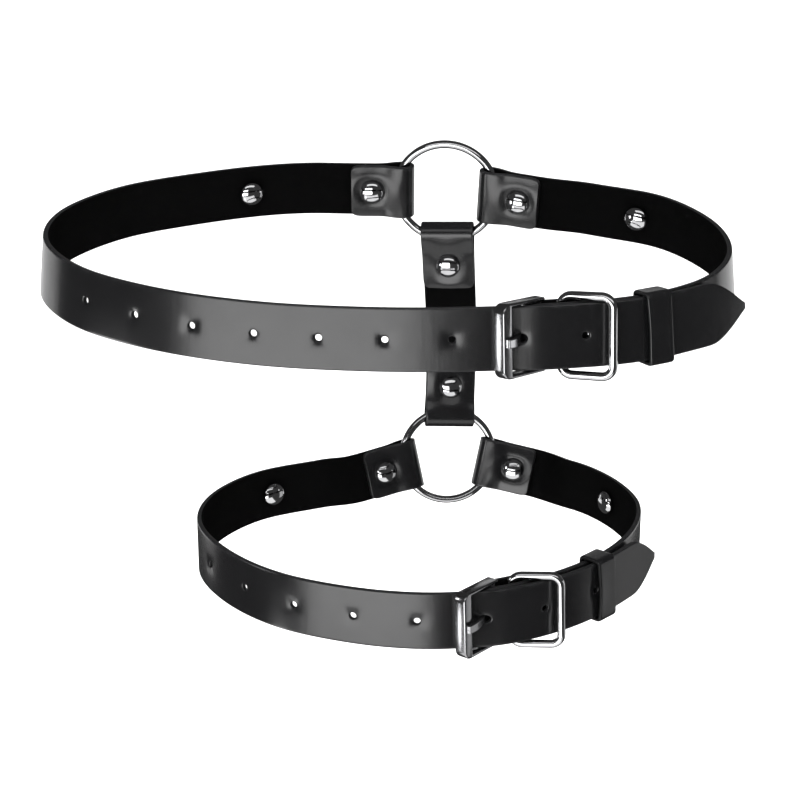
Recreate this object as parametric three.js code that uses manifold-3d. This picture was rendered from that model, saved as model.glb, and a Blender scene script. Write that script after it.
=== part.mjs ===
// Thigh harness: two buckled leather loops that hang one above the other from a pair of
// O-rings joined by a short strap. Millimetres, +Z up. The buckles are at the front, -Y, and
// the rings at the back, +Y. The origin is the middle of the upper loop.
import * as THREE from 'three';
import { mergeVertices } from 'three/addons/utils/BufferGeometryUtils.js';
import Module from 'manifold-3d';

const wasm = await Module();
wasm.setup();

// Clearance between pieces that touch
const GAP = 0.3;

// Leather
const STRAP_WIDTH = 20;
const STRAP_THICKNESS = 2;
const KEEPER_THICKNESS = 1.3;
const KEEPER_LENGTH = 8.6;
const STATION_STEP = 7;

// Rings and wires
const RING_OUTER_DIAMETER = 40.4;
const RING_WIRE = 3;
const WIRE_RADIUS = (RING_OUTER_DIAMETER - RING_WIRE) / 2;
const WIRE_SIDES = 8;
const RING_SEGMENTS = 32;

// A strap's fold round a ring, by distance from the ring's centre. The flap comes back on the
// inner side. The fold is wider inside than the wire, because the wire curves within it.
const FOLD_SLACK = 0.75;
const FOLD_RADIUS = RING_WIRE / 2 + FOLD_SLACK + STRAP_THICKNESS / 2;
const FOLD_CENTRE = 16.25;
const FOLD_STEPS = 8;
const FOLD_SHARE = 0.94;
const HINGE_REACH = 17.4;
const SPREAD_END = 19.8;
const CLOSED_FROM = 23.6;
const CLOSING_STEPS = 3;
const FLAP_REACH = 36;
const SETTLED_REACH = 56;
const LAYER_OFFSET = (STRAP_THICKNESS + GAP) / 2;

// A flap's rounded corner, and the distances from its end at which the strap's outline is set
const FLAP_CORNER = 2.5;
const FLAP_STEPS = [0, 0.8, 2.5, 7];

// Rivets: domed caps on a post
const RIVET_CAP_RADIUS = 4.5;
const RIVET_CAP_HEIGHT = 2.6;
const RIVET_RIM = 0.5;
const RIVET_UNDERCUT = 0.3;
const RIVET_SEAT = 0.35;
const RIVET_DOME_DEGREES = [0, 38, 68, 90];
const RIVET_POST_RADIUS = 1.5;
const RIVET_HOLE_RADIUS = 2.1;
const RIVET_SIDES = 12;
const TAB_RIVET_REACH = 28;
const SIDE_RIVET_CURVE = 0.5;
const FLAT_RIVET_RADIUS = 3.5;
const FLAT_RIVET_HEAD = 0.5;
const FLAT_RIVET_SEAT = STRAP_THICKNESS + GAP / 2 + 0.35;

// Adjustment holes of the long strap
const HOLE_RADIUS = 1.5;
const HOLE_SIDES = 10;
const PRONG_HOLE_HEIGHT = 4;

// Buckle: a flat open frame on a round heel bar
const BAR_RADIUS = 1.6;
const BUCKLE_LENGTH = 14.4;
const BUCKLE_PLATE = 4.6;
const BUCKLE_CHAMFER = 0.4;
const BUCKLE_OUTER_HEIGHT = 23.2;
const BUCKLE_INNER_HEIGHT = 20.8;
const FREE_BAR_WIDTH = 3.8;
const BUCKLE_CORNER = 3;
const BUCKLE_HEEL_END = 1.8;

// Prong: an eye round the heel bar and a tongue that runs under the long strap, comes out by its
// hole and rests on the free bar. Entry and exit are measured from the middle of the hole.
const PRONG_WIDTH = 3;
const PRONG_THICKNESS = 1.7;
const PRONG_EYE = BAR_RADIUS + GAP + 1.2;
const PRONG_ENTRY = new THREE.Vector2(-1.4, -0.8);
const PRONG_EXIT = new THREE.Vector2(0.9, 0.6);
const PRONG_SHOULDER = BUCKLE_LENGTH - 2.6;
const PRONG_TIP = BUCKLE_LENGTH + 1.8;
const PRONG_REST = BUCKLE_PLATE / 2 + GAP + PRONG_THICKNESS / 2;
const PRONG_CLEARANCE = 2 * GAP;

// The buckle strap's fold round the heel bar, which lifts it from the loop's line. Its flap
// stays open round the wire keeper and closes before the rivet.
const HEEL_LIFT = 1.1;
const LIFT = { from: 17, to: 7 };
const BUCKLE_FLAP = 23;
const BUCKLE_FLAP_STEPS = [5, 10, 11.3, 12.7, 14, 17];
const HEEL_SLACK = 0.5;
const HEEL_FOLD_RADIUS = BAR_RADIUS + HEEL_SLACK + STRAP_THICKNESS / 2;
const WIRE_ROOM_END = 10;
const BUCKLE_FLAP_CLOSED = 14;
const FOLD_RIVET_REACH = 18.5;
const PRONG_SLOT = { height: 4, length: 10.5, depth: 11 };
const OVERLAP_OFFSET = 3.6;
const CLIMB = { from: 21, to: -2 };

// Wire keeper, held in the same fold
const KEEPER_WIRE = 2.8;
const WIRE_KEEPER_REACH = 7.6;
const WIRE_KEEPER_SPAN = 13.7;
const WIRE_KEEPER_STAND_OFF = 1.2;
const WIRE_KEEPER_DROP = 0.8;
const WIRE_KEEPER_HALF_HEIGHT = 12.7;
const WIRE_KEEPER_CORNER = 3.6;

// Leather keeper, a flat band round the buckle strap and the free end
const KEEPER_SLACK = 0.4;
const KEEPER_INNER_CORNER = 0.4;
const CORNER_TURNS = 3;

// Free end of the long strap
const TIP_LENGTH = 12.5;
const TIP_POWER = 1.5;
const TIP_BLUNT = 0.06;
const TIP_STEPS = 7;
const FREE_END_RADIUS = 260;

// Each loop: the line of its strap, given by points that it passes, from the ring round the
// left side to the front and back by the right side. Lean is the slope of the wall in degrees,
// top outwards when positive, and sway is added to it at the front and taken off at the back.
// It fades from the ring's to the loop's own. A tab is the strap's straight end at the ring,
// turned in the ring's plane and bent inwards. Holes are counted from the prong's.
const UPPER_LOOP = {
  name: 'upper',
  position: [0, 0, 0],
  pitch: 0,
  lean: -7.5,
  sway: -7,
  ring: { lean: 1, rise: -0.6 },
  leftTab: { turn: 0, bend: 7, leanFadeEnd: 75 },
  rightTab: { turn: 2, bend: 14, leanFadeEnd: 42 },
  sideRivetReach: 74,
  heelReach: 359.6,
  buckleTilt: 35,
  prongHole: 6.2,
  holePitch: 20.2,
  holesBefore: 7,
  holesAfter: 1,
  leatherKeeperReach: 36.4,
  freeEnd: 30.3,
  line: [
    { x: 21.5, y: 60.5 }, { x: 9.6, y: 62 }, { x: -2.5, y: 63.5 }, { x: -40, y: 62 },
    { x: -72, y: 51.5 }, { x: -98, y: 37 }, { x: -114.3, y: 14 }, { x: -115, y: -10 },
    { x: -101, y: -32.5 }, { x: -76, y: -49 }, { x: -42, y: -60.5 }, { x: -5, y: -65 },
    { x: 30, y: -64 }, { x: 50, y: -62 }, { x: 70, y: -58.8 }, { x: 86, y: -53.2 },
    { x: 103, y: -41 }, { x: 113, y: -21 }, { x: 112, y: 4 }, { x: 98, y: 28.5 },
    { x: 76, y: 40.5 }, { x: 45, y: 55.5 }, { x: 33.4, y: 58.8 },
  ],
};

const LOWER_LOOP = {
  name: 'lower',
  position: [12, -6, -108.4],
  pitch: -7,
  lean: 0,
  sway: -6.5,
  ring: { lean: 12.5, rise: 1 },
  leftTab: { turn: -10.5, bend: 17, leanFadeEnd: 66 },
  rightTab: { turn: 13, bend: 18, leanFadeEnd: 66 },
  sideRivetReach: 78.5,
  heelReach: 258.9,
  buckleTilt: 31,
  prongHole: 4.2,
  holePitch: 21.4,
  holesBefore: 5,
  holesAfter: 2,
  leatherKeeperReach: 42,
  freeEnd: 27,
  line: [
    { x: 12, y: 66 }, { x: 0.2, y: 63.5 }, { x: -12, y: 57.5, z: -2 }, { x: -37, y: 43.5, z: -1 },
    { x: -64, y: 28 }, { x: -78.5, y: 8 }, { x: -80.5, y: -13 }, { x: -70, y: -34 },
    { x: -49, y: -53 }, { x: -20, y: -63.8 }, { x: 8, y: -65.5 }, { x: 26, y: -61.5 },
    { x: 46, y: -52 }, { x: 64, y: -37 }, { x: 76, y: -18.5 }, { x: 80.3, y: 1 },
    { x: 76, y: 18.5 }, { x: 65, y: 37.5, z: -1 }, { x: 47.5, y: 53, z: -2.6 },
    { x: 36, y: 61, z: -2.5 }, { x: 24, y: 66 },
  ],
};

// Connector between the rings
const CONNECTOR_FLAP_REACH = 38.5;
const CONNECTOR_RIVET_REACH = 29;
const CONNECTOR_TURN = 3;
const CONNECTOR_HANDLE = 20;
const CONNECTOR_STEPS = 8;

const LEATHER = { color: 0x151516, roughness: 0.42, metalness: 0 };
const NICKEL = { color: 0xc4c6c8, roughness: 0.16, metalness: 1 };
const GUNMETAL = { color: 0x6d6e70, roughness: 0.28, metalness: 1 };

// Divisions that measure a loop's length
const LINE_DIVISIONS = 1200;

// Corners closer than this are one corner
const WELD = 1e-4;

const material = (finish) => new THREE.MeshStandardMaterial(finish);
const smooth = THREE.MathUtils.smoothstep;
const radians = THREE.MathUtils.degToRad;

// A frame in space: a point with the directions along, across and out of a strap's face
class Place {
  constructor(point, along, across) {
    this.point = point;
    this.along = along.clone().normalize();
    this.across = across.clone().normalize();
    this.out = new THREE.Vector3().crossVectors(this.along, this.across).normalize();
  }

  shifted(along, across, out) {
    const point = this.point.clone()
      .addScaledVector(this.along, along)
      .addScaledVector(this.across, across)
      .addScaledVector(this.out, out);
    return new Place(point, this.along, this.across);
  }

  // Matrix that carries X, Y and Z to along, across and out
  matrix() {
    return new THREE.Matrix4().makeBasis(this.along, this.across, this.out).setPosition(this.point);
  }
}

// The line that a loop's strap follows, measured from the ring
class LoopLine {
  constructor({ line, lean, sway, ring, leftTab, rightTab }) {
    const points = line.map(({ x, y, z = 0 }) => new THREE.Vector3(x, y, z));
    this.curve = new THREE.CatmullRomCurve3(points, true);
    this.curve.arcLengthDivisions = LINE_DIVISIONS;
    this.length = this.curve.getLength();
    this.lean = lean;
    this.sway = sway;
    this.ringLean = ring.lean;
    this.fadeEnds = [leftTab.leanFadeEnd, rightTab.leanFadeEnd];
  }

  leanAt(reach, outward) {
    const fades = [reach, this.length - reach].map((fromRing, side) => (
      smooth(fromRing, CLOSED_FROM, this.fadeEnds[side])
    ));
    const own = this.lean - this.sway * outward.y;
    return radians(THREE.MathUtils.lerp(this.ringLean, own, Math.min(...fades)));
  }

  // The place at a distance from the ring, moved outwards by an offset
  at(distance, offset = 0) {
    const reach = THREE.MathUtils.euclideanModulo(distance, this.length);
    const along = this.curve.getTangentAt(reach / this.length);
    const outward = new THREE.Vector3(along.y, -along.x, 0).normalize();
    const lean = this.leanAt(reach, outward);
    const across = new THREE.Vector3().crossVectors(outward, along)
      .multiplyScalar(Math.cos(lean))
      .addScaledVector(outward, Math.sin(lean));
    return new Place(this.curve.getPointAt(reach / this.length), along, across).shifted(0, 0, offset);
  }
}

function toSolid(geometry) {
  const bare = geometry.clone();
  bare.deleteAttribute('normal');
  bare.deleteAttribute('uv');
  const merged = mergeVertices(bare, WELD);
  return new wasm.Manifold(new wasm.Mesh({
    numProp: 3,
    vertProperties: new Float32Array(merged.attributes.position.array),
    triVerts: new Uint32Array(merged.index.array),
  }));
}

function toGeometry(solid) {
  const { vertProperties, triVerts } = solid.getMesh();
  const geometry = new THREE.BufferGeometry();
  geometry.setAttribute('position', new THREE.BufferAttribute(vertProperties, 3));
  geometry.setIndex(new THREE.BufferAttribute(triVerts, 1));
  geometry.computeVertexNormals();
  return geometry;
}

function cut(geometry, cutters) {
  return toGeometry(cutters.reduce((solid, cutter) => solid.subtract(toSolid(cutter)), toSolid(geometry)));
}

function mesh(name, geometry, finish) {
  const piece = new THREE.Mesh(geometry, material(finish));
  piece.name = name;
  return piece;
}

// Leather strip through stations. Each station has its centre, the direction across the strip
// and its share of the full width.
function strip(stations) {
  const last = stations.length - 1;
  const geometry = new THREE.BoxGeometry(last, STRAP_THICKNESS, STRAP_WIDTH, last, 1, 1);
  const frames = stations.map(({ centre, across }, index) => {
    const before = stations[Math.max(index - 1, 0)].centre;
    const after = stations[Math.min(index + 1, last)].centre;
    const along = new THREE.Vector3().subVectors(after, before).normalize();
    return { centre, across, thick: new THREE.Vector3().crossVectors(across, along).normalize() };
  });
  const positions = geometry.attributes.position;
  const corner = new THREE.Vector3();
  for (let i = 0; i < positions.count; i += 1) {
    corner.fromBufferAttribute(positions, i);
    const index = Math.round(corner.x + last / 2);
    const { centre, across, thick } = frames[index];
    const point = centre.clone()
      .addScaledVector(thick, corner.y)
      .addScaledVector(across, corner.z * stations[index].share);
    positions.setXYZ(i, point.x, point.y, point.z);
  }
  return geometry;
}

const station = ({ point, across }, share = 1) => ({ centre: point, across, share });

// Width of a flap near its end, where its corners are rounded
function flapShare(fromEnd) {
  const inCorner = Math.max(0, FLAP_CORNER - fromEnd);
  const drop = FLAP_CORNER - Math.sqrt(FLAP_CORNER ** 2 - inCorner ** 2);
  return 1 - (2 * drop) / STRAP_WIDTH;
}

// Width of a strap's run, which is pinched at the ring
const runShare = (reach) => THREE.MathUtils.lerp(FOLD_SHARE, 1, smooth(reach, CLOSED_FROM, FLAP_REACH));

// Half the spacing between a fold's two layers: wide at the wire, closed before the rivet
const spread = (reach) => (
  THREE.MathUtils.lerp(FOLD_RADIUS, LAYER_OFFSET, smooth(reach, SPREAD_END, CLOSED_FROM))
);

// Places along a strap that leaves a ring. It is turned in the ring's plane, from the ring's
// along direction, and bent inwards at the wire.
function ringTab(ring, turn, bend) {
  const away = ring.along.clone().applyAxisAngle(ring.out, radians(turn));
  const across = ring.across.clone().applyAxisAngle(ring.out, radians(turn));
  const wire = ring.point.clone().addScaledVector(away, HINGE_REACH);
  const hinge = new Place(wire, away.applyAxisAngle(across, radians(bend)), across);
  return (reach, offset) => hinge.shifted(reach - HINGE_REACH, 0, offset);
}

// The folded end of a strap at a ring, from the end of its flap through the ring and back out.
// side is -1 where the tab's across direction is opposite to the strap's own.
function foldedEnd(tab, flapReach, side) {
  const stations = [];
  const add = (reach, offset, share) => {
    const { point, across } = tab(reach, offset);
    stations.push({ centre: point, across: across.multiplyScalar(side), share });
  };
  for (const fromEnd of FLAP_STEPS) {
    add(flapReach - fromEnd, -LAYER_OFFSET, runShare(flapReach - fromEnd) * flapShare(fromEnd));
  }
  const closing = (SPREAD_END - CLOSED_FROM) / CLOSING_STEPS;
  const steps = Array.from({ length: CLOSING_STEPS + 1 }, (_, index) => CLOSED_FROM + closing * index);
  steps.forEach((reach) => add(reach, -spread(reach), FOLD_SHARE));
  for (let step = 0; step <= FOLD_STEPS; step += 1) {
    const angle = Math.PI * (step / FOLD_STEPS - 0.5);
    add(FOLD_CENTRE - FOLD_RADIUS * Math.cos(angle), FOLD_RADIUS * Math.sin(angle), FOLD_SHARE);
  }
  steps.reverse().forEach((reach) => add(reach, spread(reach), FOLD_SHARE));
  const flat = [(CLOSED_FROM + FLAP_REACH) / 2, FLAP_REACH];
  flat.forEach((reach) => add(reach, LAYER_OFFSET, runShare(reach)));
  return stations;
}

function evenly(from, to, step) {
  const count = Math.max(1, Math.round(Math.abs(to - from) / step));
  return Array.from({ length: count }, (_, index) => from + ((to - from) * (index + 1)) / count);
}

// A strap's main run: it leaves the tab's straight line for the loop's own line
function mainStation(tab, place, reach, side) {
  const settled = smooth(reach, FLAP_REACH, SETTLED_REACH);
  const start = tab(reach, LAYER_OFFSET);
  const across = start.across.multiplyScalar(side).lerp(place.across, settled).normalize();
  return { centre: start.point.lerp(place.point, settled), across, share: 1 };
}

// The long strap's offset: it climbs over the buckle strap between the free bar and the heel bar
const climb = (reach, heel) => OVERLAP_OFFSET * smooth(reach, heel - CLIMB.from, heel - CLIMB.to);

// The buckle strap's offset, by distance from the heel bar
const lift = (fromHeel) => HEEL_LIFT * (1 - smooth(fromHeel, LIFT.to, LIFT.from));

// Width of the pointed tip, an arch with curved sides
const tipShare = (fromShoulder) => Math.max(TIP_BLUNT, 1 - (fromShoulder / TIP_LENGTH) ** TIP_POWER);

function longStrapStations(line, loop, tab) {
  const heel = loop.heelReach;
  const keeperEnd = heel + loop.leatherKeeperReach + KEEPER_LENGTH / 2;
  const stations = foldedEnd(tab, FLAP_REACH, 1);
  for (const reach of evenly(FLAP_REACH, keeperEnd, STATION_STEP)) {
    stations.push(mainStation(tab, line.at(reach, climb(reach, heel)), reach, 1));
  }
  // beyond the keeper the free end is nearly straight and stands off the loop
  const start = line.at(keeperEnd, OVERLAP_OFFSET);
  const shoulder = loop.freeEnd - TIP_LENGTH;
  const tips = Array.from({ length: TIP_STEPS }, (_, index) => (TIP_LENGTH * (index + 1)) / TIP_STEPS);
  for (const distance of [...evenly(0, shoulder, STATION_STEP), ...tips.map((tip) => shoulder + tip)]) {
    const bend = distance ** 2 / (2 * FREE_END_RADIUS);
    const share = tipShare(Math.max(0, distance - shoulder));
    stations.push(station(start.shifted(distance, 0, -bend), share));
  }
  return stations;
}

function buckleStrapStations(line, loop, tab) {
  const heel = loop.heelReach;
  const stations = foldedEnd(tab, FLAP_REACH, -1);
  const runEnd = line.length - heel;
  for (const reach of evenly(FLAP_REACH, runEnd, STATION_STEP)) {
    stations.push(mainStation(tab, line.at(-reach, lift(runEnd - reach)), reach, -1));
  }
  for (let step = 1; step <= FOLD_STEPS; step += 1) {
    const angle = Math.PI * (0.5 - step / FOLD_STEPS);
    const offset = HEEL_LIFT + HEEL_FOLD_RADIUS * (Math.sin(angle) - 1);
    stations.push(station(line.at(heel - HEEL_FOLD_RADIUS * Math.cos(angle), offset)));
  }
  const flapEnd = FLAP_STEPS.slice(0, -1).map((fromEnd) => BUCKLE_FLAP - fromEnd).reverse();
  for (const fromHeel of [...BUCKLE_FLAP_STEPS, ...flapEnd]) {
    const closed = smooth(fromHeel, WIRE_ROOM_END, BUCKLE_FLAP_CLOSED);
    const apart = THREE.MathUtils.lerp(2 * HEEL_FOLD_RADIUS, STRAP_THICKNESS + GAP, closed);
    const place = line.at(heel + fromHeel, lift(fromHeel) - apart);
    stations.push(station(place, flapShare(BUCKLE_FLAP - fromHeel)));
  }
  return stations;
}

// Round cutter through a strap, along the direction out of its face
function roundCutter(place, radius) {
  const geometry = new THREE.CylinderGeometry(radius, radius, 6 * STRAP_THICKNESS, HOLE_SIDES);
  return geometry.rotateX(Math.PI / 2).applyMatrix4(place.matrix());
}

function rivet(name, place, stack) {
  const profile = rivetProfile(stack / 2 + RIVET_SEAT);
  const geometry = new THREE.LatheGeometry(profile, RIVET_SIDES).rotateX(Math.PI / 2);
  const piece = mesh(name, geometry, NICKEL);
  piece.applyMatrix4(place.matrix());
  return piece;
}

// Half profile of a rivet from one dome's pole to the other's, where seat is the distance
// from the middle of the leather to the underside of a cap
function rivetProfile(seat) {
  const dome = RIVET_DOME_DEGREES.map((turn) => {
    const angle = radians(turn);
    const height = RIVET_RIM + (RIVET_CAP_HEIGHT - RIVET_RIM) * Math.cos(angle);
    return new THREE.Vector2(RIVET_CAP_RADIUS * Math.sin(angle), seat + height);
  });
  const underside = [RIVET_CAP_RADIUS - RIVET_UNDERCUT, RIVET_POST_RADIUS];
  const half = [...dome, ...underside.map((radius) => new THREE.Vector2(radius, seat))];
  const lower = half.map(({ x, y }) => new THREE.Vector2(x, -y));
  return [...lower, ...half.reverse()];
}

function flatRivet(name, place) {
  const head = FLAT_RIVET_SEAT + FLAT_RIVET_HEAD;
  const half = [
    new THREE.Vector2(RIVET_POST_RADIUS, FLAT_RIVET_SEAT),
    new THREE.Vector2(FLAT_RIVET_RADIUS, FLAT_RIVET_SEAT),
    new THREE.Vector2(FLAT_RIVET_RADIUS, head),
    new THREE.Vector2(0, head),
  ];
  const lower = half.map(({ x, y }) => new THREE.Vector2(x, -y)).reverse();
  const geometry = new THREE.LatheGeometry([...lower, ...half], RIVET_SIDES).rotateX(Math.PI / 2);
  const piece = mesh(name, geometry, NICKEL);
  piece.applyMatrix4(place.matrix());
  return piece;
}

function ring(name, place) {
  const geometry = new THREE.TorusGeometry(WIRE_RADIUS, RING_WIRE / 2, WIRE_SIDES, RING_SEGMENTS);
  const piece = mesh(name, geometry, NICKEL);
  piece.applyMatrix4(place.matrix());
  return piece;
}

// Outline of a rectangle with rounded corners, as a point and its outward direction
function roundedRectangle(halfLength, halfHeight, corner, turns) {
  const points = [];
  for (let quarter = 0; quarter < 4; quarter += 1) {
    const sideX = quarter === 0 || quarter === 3 ? 1 : -1;
    const sideY = quarter < 2 ? 1 : -1;
    for (let turn = 0; turn <= turns; turn += 1) {
      const angle = (quarter + turn / turns) * (Math.PI / 2);
      const direction = new THREE.Vector2(Math.cos(angle), Math.sin(angle));
      const centre = new THREE.Vector2(sideX * (halfLength - corner), sideY * (halfHeight - corner));
      points.push({ point: centre.addScaledVector(direction, corner), direction });
    }
  }
  return points;
}

// Closed wire bent to a rounded rectangle: a ring whose turns are moved to the outline
function wireRectangle(halfLength, halfHeight, corner, wireRadius) {
  const outline = roundedRectangle(halfLength, halfHeight, corner, CORNER_TURNS);
  const count = outline.length;
  const geometry = new THREE.TorusGeometry(halfHeight, wireRadius, WIRE_SIDES, count);
  const positions = geometry.attributes.position;
  for (let i = 0; i < positions.count; i += 1) {
    const turn = Math.atan2(positions.getY(i), positions.getX(i)) / (2 * Math.PI);
    const { point, direction } = outline[Math.round((turn + 1) * count) % count];
    const outwards = Math.hypot(positions.getX(i), positions.getY(i)) - halfHeight;
    positions.setXY(i, point.x + direction.x * outwards, point.y + direction.y * outwards);
  }
  return geometry;
}

// The buckle's own frame: X from the heel bar to the free bar, Y down the bars, Z outwards
function bucklePlace(line, loop) {
  const heel = line.at(loop.heelReach, HEEL_LIFT - HEEL_FOLD_RADIUS);
  const tilt = radians(loop.buckleTilt);
  const toFreeBar = heel.along.clone()
    .multiplyScalar(-Math.cos(tilt))
    .addScaledVector(heel.out, Math.sin(tilt));
  const down = heel.across.clone().negate();
  const outwards = new THREE.Vector3().crossVectors(toFreeBar, down);
  return new THREE.Matrix4().makeBasis(toFreeBar, down, outwards).setPosition(heel.point);
}

function buckleFrame(name, matrix) {
  const halfOuter = BUCKLE_OUTER_HEIGHT / 2 - BUCKLE_CHAMFER;
  const halfInner = BUCKLE_INNER_HEIGHT / 2 + BUCKLE_CHAMFER;
  const far = BUCKLE_LENGTH + FREE_BAR_WIDTH / 2 - BUCKLE_CHAMFER;
  const near = BUCKLE_LENGTH - FREE_BAR_WIDTH / 2 + BUCKLE_CHAMFER;
  const heelEnd = BUCKLE_CHAMFER - BUCKLE_HEEL_END;
  const shape = new THREE.Shape();
  shape.moveTo(heelEnd, halfInner);
  shape.lineTo(near, halfInner);
  shape.lineTo(near, -halfInner);
  shape.lineTo(heelEnd, -halfInner);
  shape.lineTo(heelEnd, -halfOuter);
  shape.lineTo(far - BUCKLE_CORNER, -halfOuter);
  shape.absarc(far - BUCKLE_CORNER, -halfOuter + BUCKLE_CORNER, BUCKLE_CORNER, -Math.PI / 2, 0, false);
  shape.lineTo(far, halfOuter - BUCKLE_CORNER);
  shape.absarc(far - BUCKLE_CORNER, halfOuter - BUCKLE_CORNER, BUCKLE_CORNER, 0, Math.PI / 2, false);
  shape.lineTo(heelEnd, halfOuter);
  const plate = new THREE.ExtrudeGeometry(shape, {
    depth: BUCKLE_PLATE - 2 * BUCKLE_CHAMFER,
    bevelSize: BUCKLE_CHAMFER,
    bevelThickness: BUCKLE_CHAMFER,
    bevelSegments: 1,
    curveSegments: CORNER_TURNS,
  }).translate(0, 0, BUCKLE_CHAMFER - BUCKLE_PLATE / 2);
  const bar = new THREE.CylinderGeometry(BAR_RADIUS, BAR_RADIUS, BUCKLE_INNER_HEIGHT + 2, RIVET_SIDES);
  const piece = mesh(name, toGeometry(toSolid(plate).add(toSolid(bar))), GUNMETAL);
  piece.applyMatrix4(matrix);
  return piece;
}

// The tongue's middle line, in the side view of the buckle's own frame: from the eye it goes
// straight to the hole's underside, through the hole and over the free bar.
function tongueLine(line, loop, buckle) {
  const reach = loop.heelReach - loop.prongHole;
  const { x, z } = line.at(reach, climb(reach, loop.heelReach)).point.applyMatrix4(buckle.clone().invert());
  const hole = new THREE.Vector2(x, z);
  const entry = hole.clone().add(PRONG_ENTRY);
  const bend = PRONG_EYE - PRONG_THICKNESS / 2;
  const leave = entry.angle() + Math.acos(bend / entry.length());
  return [
    new THREE.Vector2(Math.cos(leave), Math.sin(leave)).multiplyScalar(bend),
    entry,
    hole.add(PRONG_EXIT),
    new THREE.Vector2(PRONG_SHOULDER, PRONG_REST),
    new THREE.Vector2(PRONG_TIP, PRONG_REST),
  ];
}

function tongueShape(tongue, halfThickness) {
  const last = tongue.length - 1;
  const sides = [1, -1].map((side) => tongue.map((point, index) => {
    const before = tongue[Math.max(index - 1, 0)];
    const along = tongue[Math.min(index + 1, last)].clone().sub(before).normalize();
    return new THREE.Vector2(-along.y, along.x).multiplyScalar(side * halfThickness).add(point);
  }));
  return new THREE.Shape([...sides[1], ...sides[0].reverse()]);
}

// The prong's eye and tongue, grown by some extra all round
function prongParts(tongue, extra, width) {
  const eye = new THREE.Shape().absarc(0, 0, PRONG_EYE + extra, 0, 2 * Math.PI, false);
  const options = { depth: width, bevelEnabled: false, curveSegments: RIVET_SIDES };
  return [eye, tongueShape(tongue, PRONG_THICKNESS / 2 + extra)].map((shape) => (
    new THREE.ExtrudeGeometry(shape, options).translate(0, 0, -width / 2).rotateX(Math.PI / 2)
  ));
}

function prong(name, tongue, matrix) {
  const [eye, arm] = prongParts(tongue, 0, PRONG_WIDTH).map(toSolid);
  const radius = BAR_RADIUS + GAP;
  const bore = toSolid(new THREE.CylinderGeometry(radius, radius, 2 * PRONG_WIDTH, RIVET_SIDES));
  const piece = mesh(name, toGeometry(eye.add(arm).subtract(bore)), GUNMETAL);
  piece.applyMatrix4(matrix);
  return piece;
}

// Cutters for the prong's hole in the long strap
function prongCutters(tongue, matrix) {
  const parts = prongParts(tongue, PRONG_CLEARANCE, PRONG_HOLE_HEIGHT);
  return parts.map((geometry) => geometry.applyMatrix4(matrix));
}

function slotCutter(line, loop) {
  const box = new THREE.BoxGeometry(PRONG_SLOT.length, PRONG_SLOT.height, PRONG_SLOT.depth);
  return box.applyMatrix4(line.at(loop.heelReach, HEEL_LIFT - HEEL_FOLD_RADIUS).matrix());
}

function wireKeeper(name, line, loop) {
  const wire = KEEPER_WIRE / 2;
  const innerOffset = lift(WIRE_KEEPER_REACH) - HEEL_FOLD_RADIUS;
  const outerOffset = OVERLAP_OFFSET + STRAP_THICKNESS / 2 + WIRE_KEEPER_STAND_OFF + wire;
  const start = line.at(loop.heelReach + WIRE_KEEPER_REACH, innerOffset);
  const end = line.at(loop.heelReach + WIRE_KEEPER_REACH + WIRE_KEEPER_SPAN, outerOffset);
  const middle = start.point.clone().lerp(end.point, 0.5);
  const span = new THREE.Vector3().subVectors(end.point, start.point);
  const geometry = wireRectangle(span.length() / 2, WIRE_KEEPER_HALF_HEIGHT, WIRE_KEEPER_CORNER, wire);
  const piece = mesh(name, geometry, NICKEL);
  piece.applyMatrix4(new Place(middle, span, start.across).shifted(0, -WIRE_KEEPER_DROP, 0).matrix());
  return piece;
}

function leatherKeeper(name, line, loop) {
  const inner = -STRAP_THICKNESS / 2 - GAP;
  const outer = OVERLAP_OFFSET + STRAP_THICKNESS / 2 + GAP;
  const halfDepth = (outer - inner) / 2 + KEEPER_SLACK;
  const halfHeight = STRAP_WIDTH / 2 + GAP;
  const band = (grow, Outline) => {
    const corner = KEEPER_INNER_CORNER + grow;
    const outline = roundedRectangle(halfDepth + grow, halfHeight + grow, corner, CORNER_TURNS);
    return new Outline(outline.map(({ point }) => point));
  };
  const shape = band(KEEPER_THICKNESS, THREE.Shape);
  shape.holes.push(band(0, THREE.Path));
  const geometry = new THREE.ExtrudeGeometry(shape, { depth: KEEPER_LENGTH, bevelEnabled: false });
  geometry.translate(0, 0, -KEEPER_LENGTH / 2).rotateY(Math.PI / 2).rotateX(Math.PI);
  const piece = mesh(name, geometry, LEATHER);
  piece.applyMatrix4(line.at(loop.heelReach + loop.leatherKeeperReach, (outer + inner) / 2).matrix());
  return piece;
}

function holePlaces(line, loop) {
  const places = [];
  for (let index = -loop.holesBefore; index <= loop.holesAfter; index += 1) {
    const reach = loop.heelReach - loop.prongHole + index * loop.holePitch;
    if (index !== 0) places.push(line.at(reach, climb(reach, loop.heelReach)));
  }
  return places;
}

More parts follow.
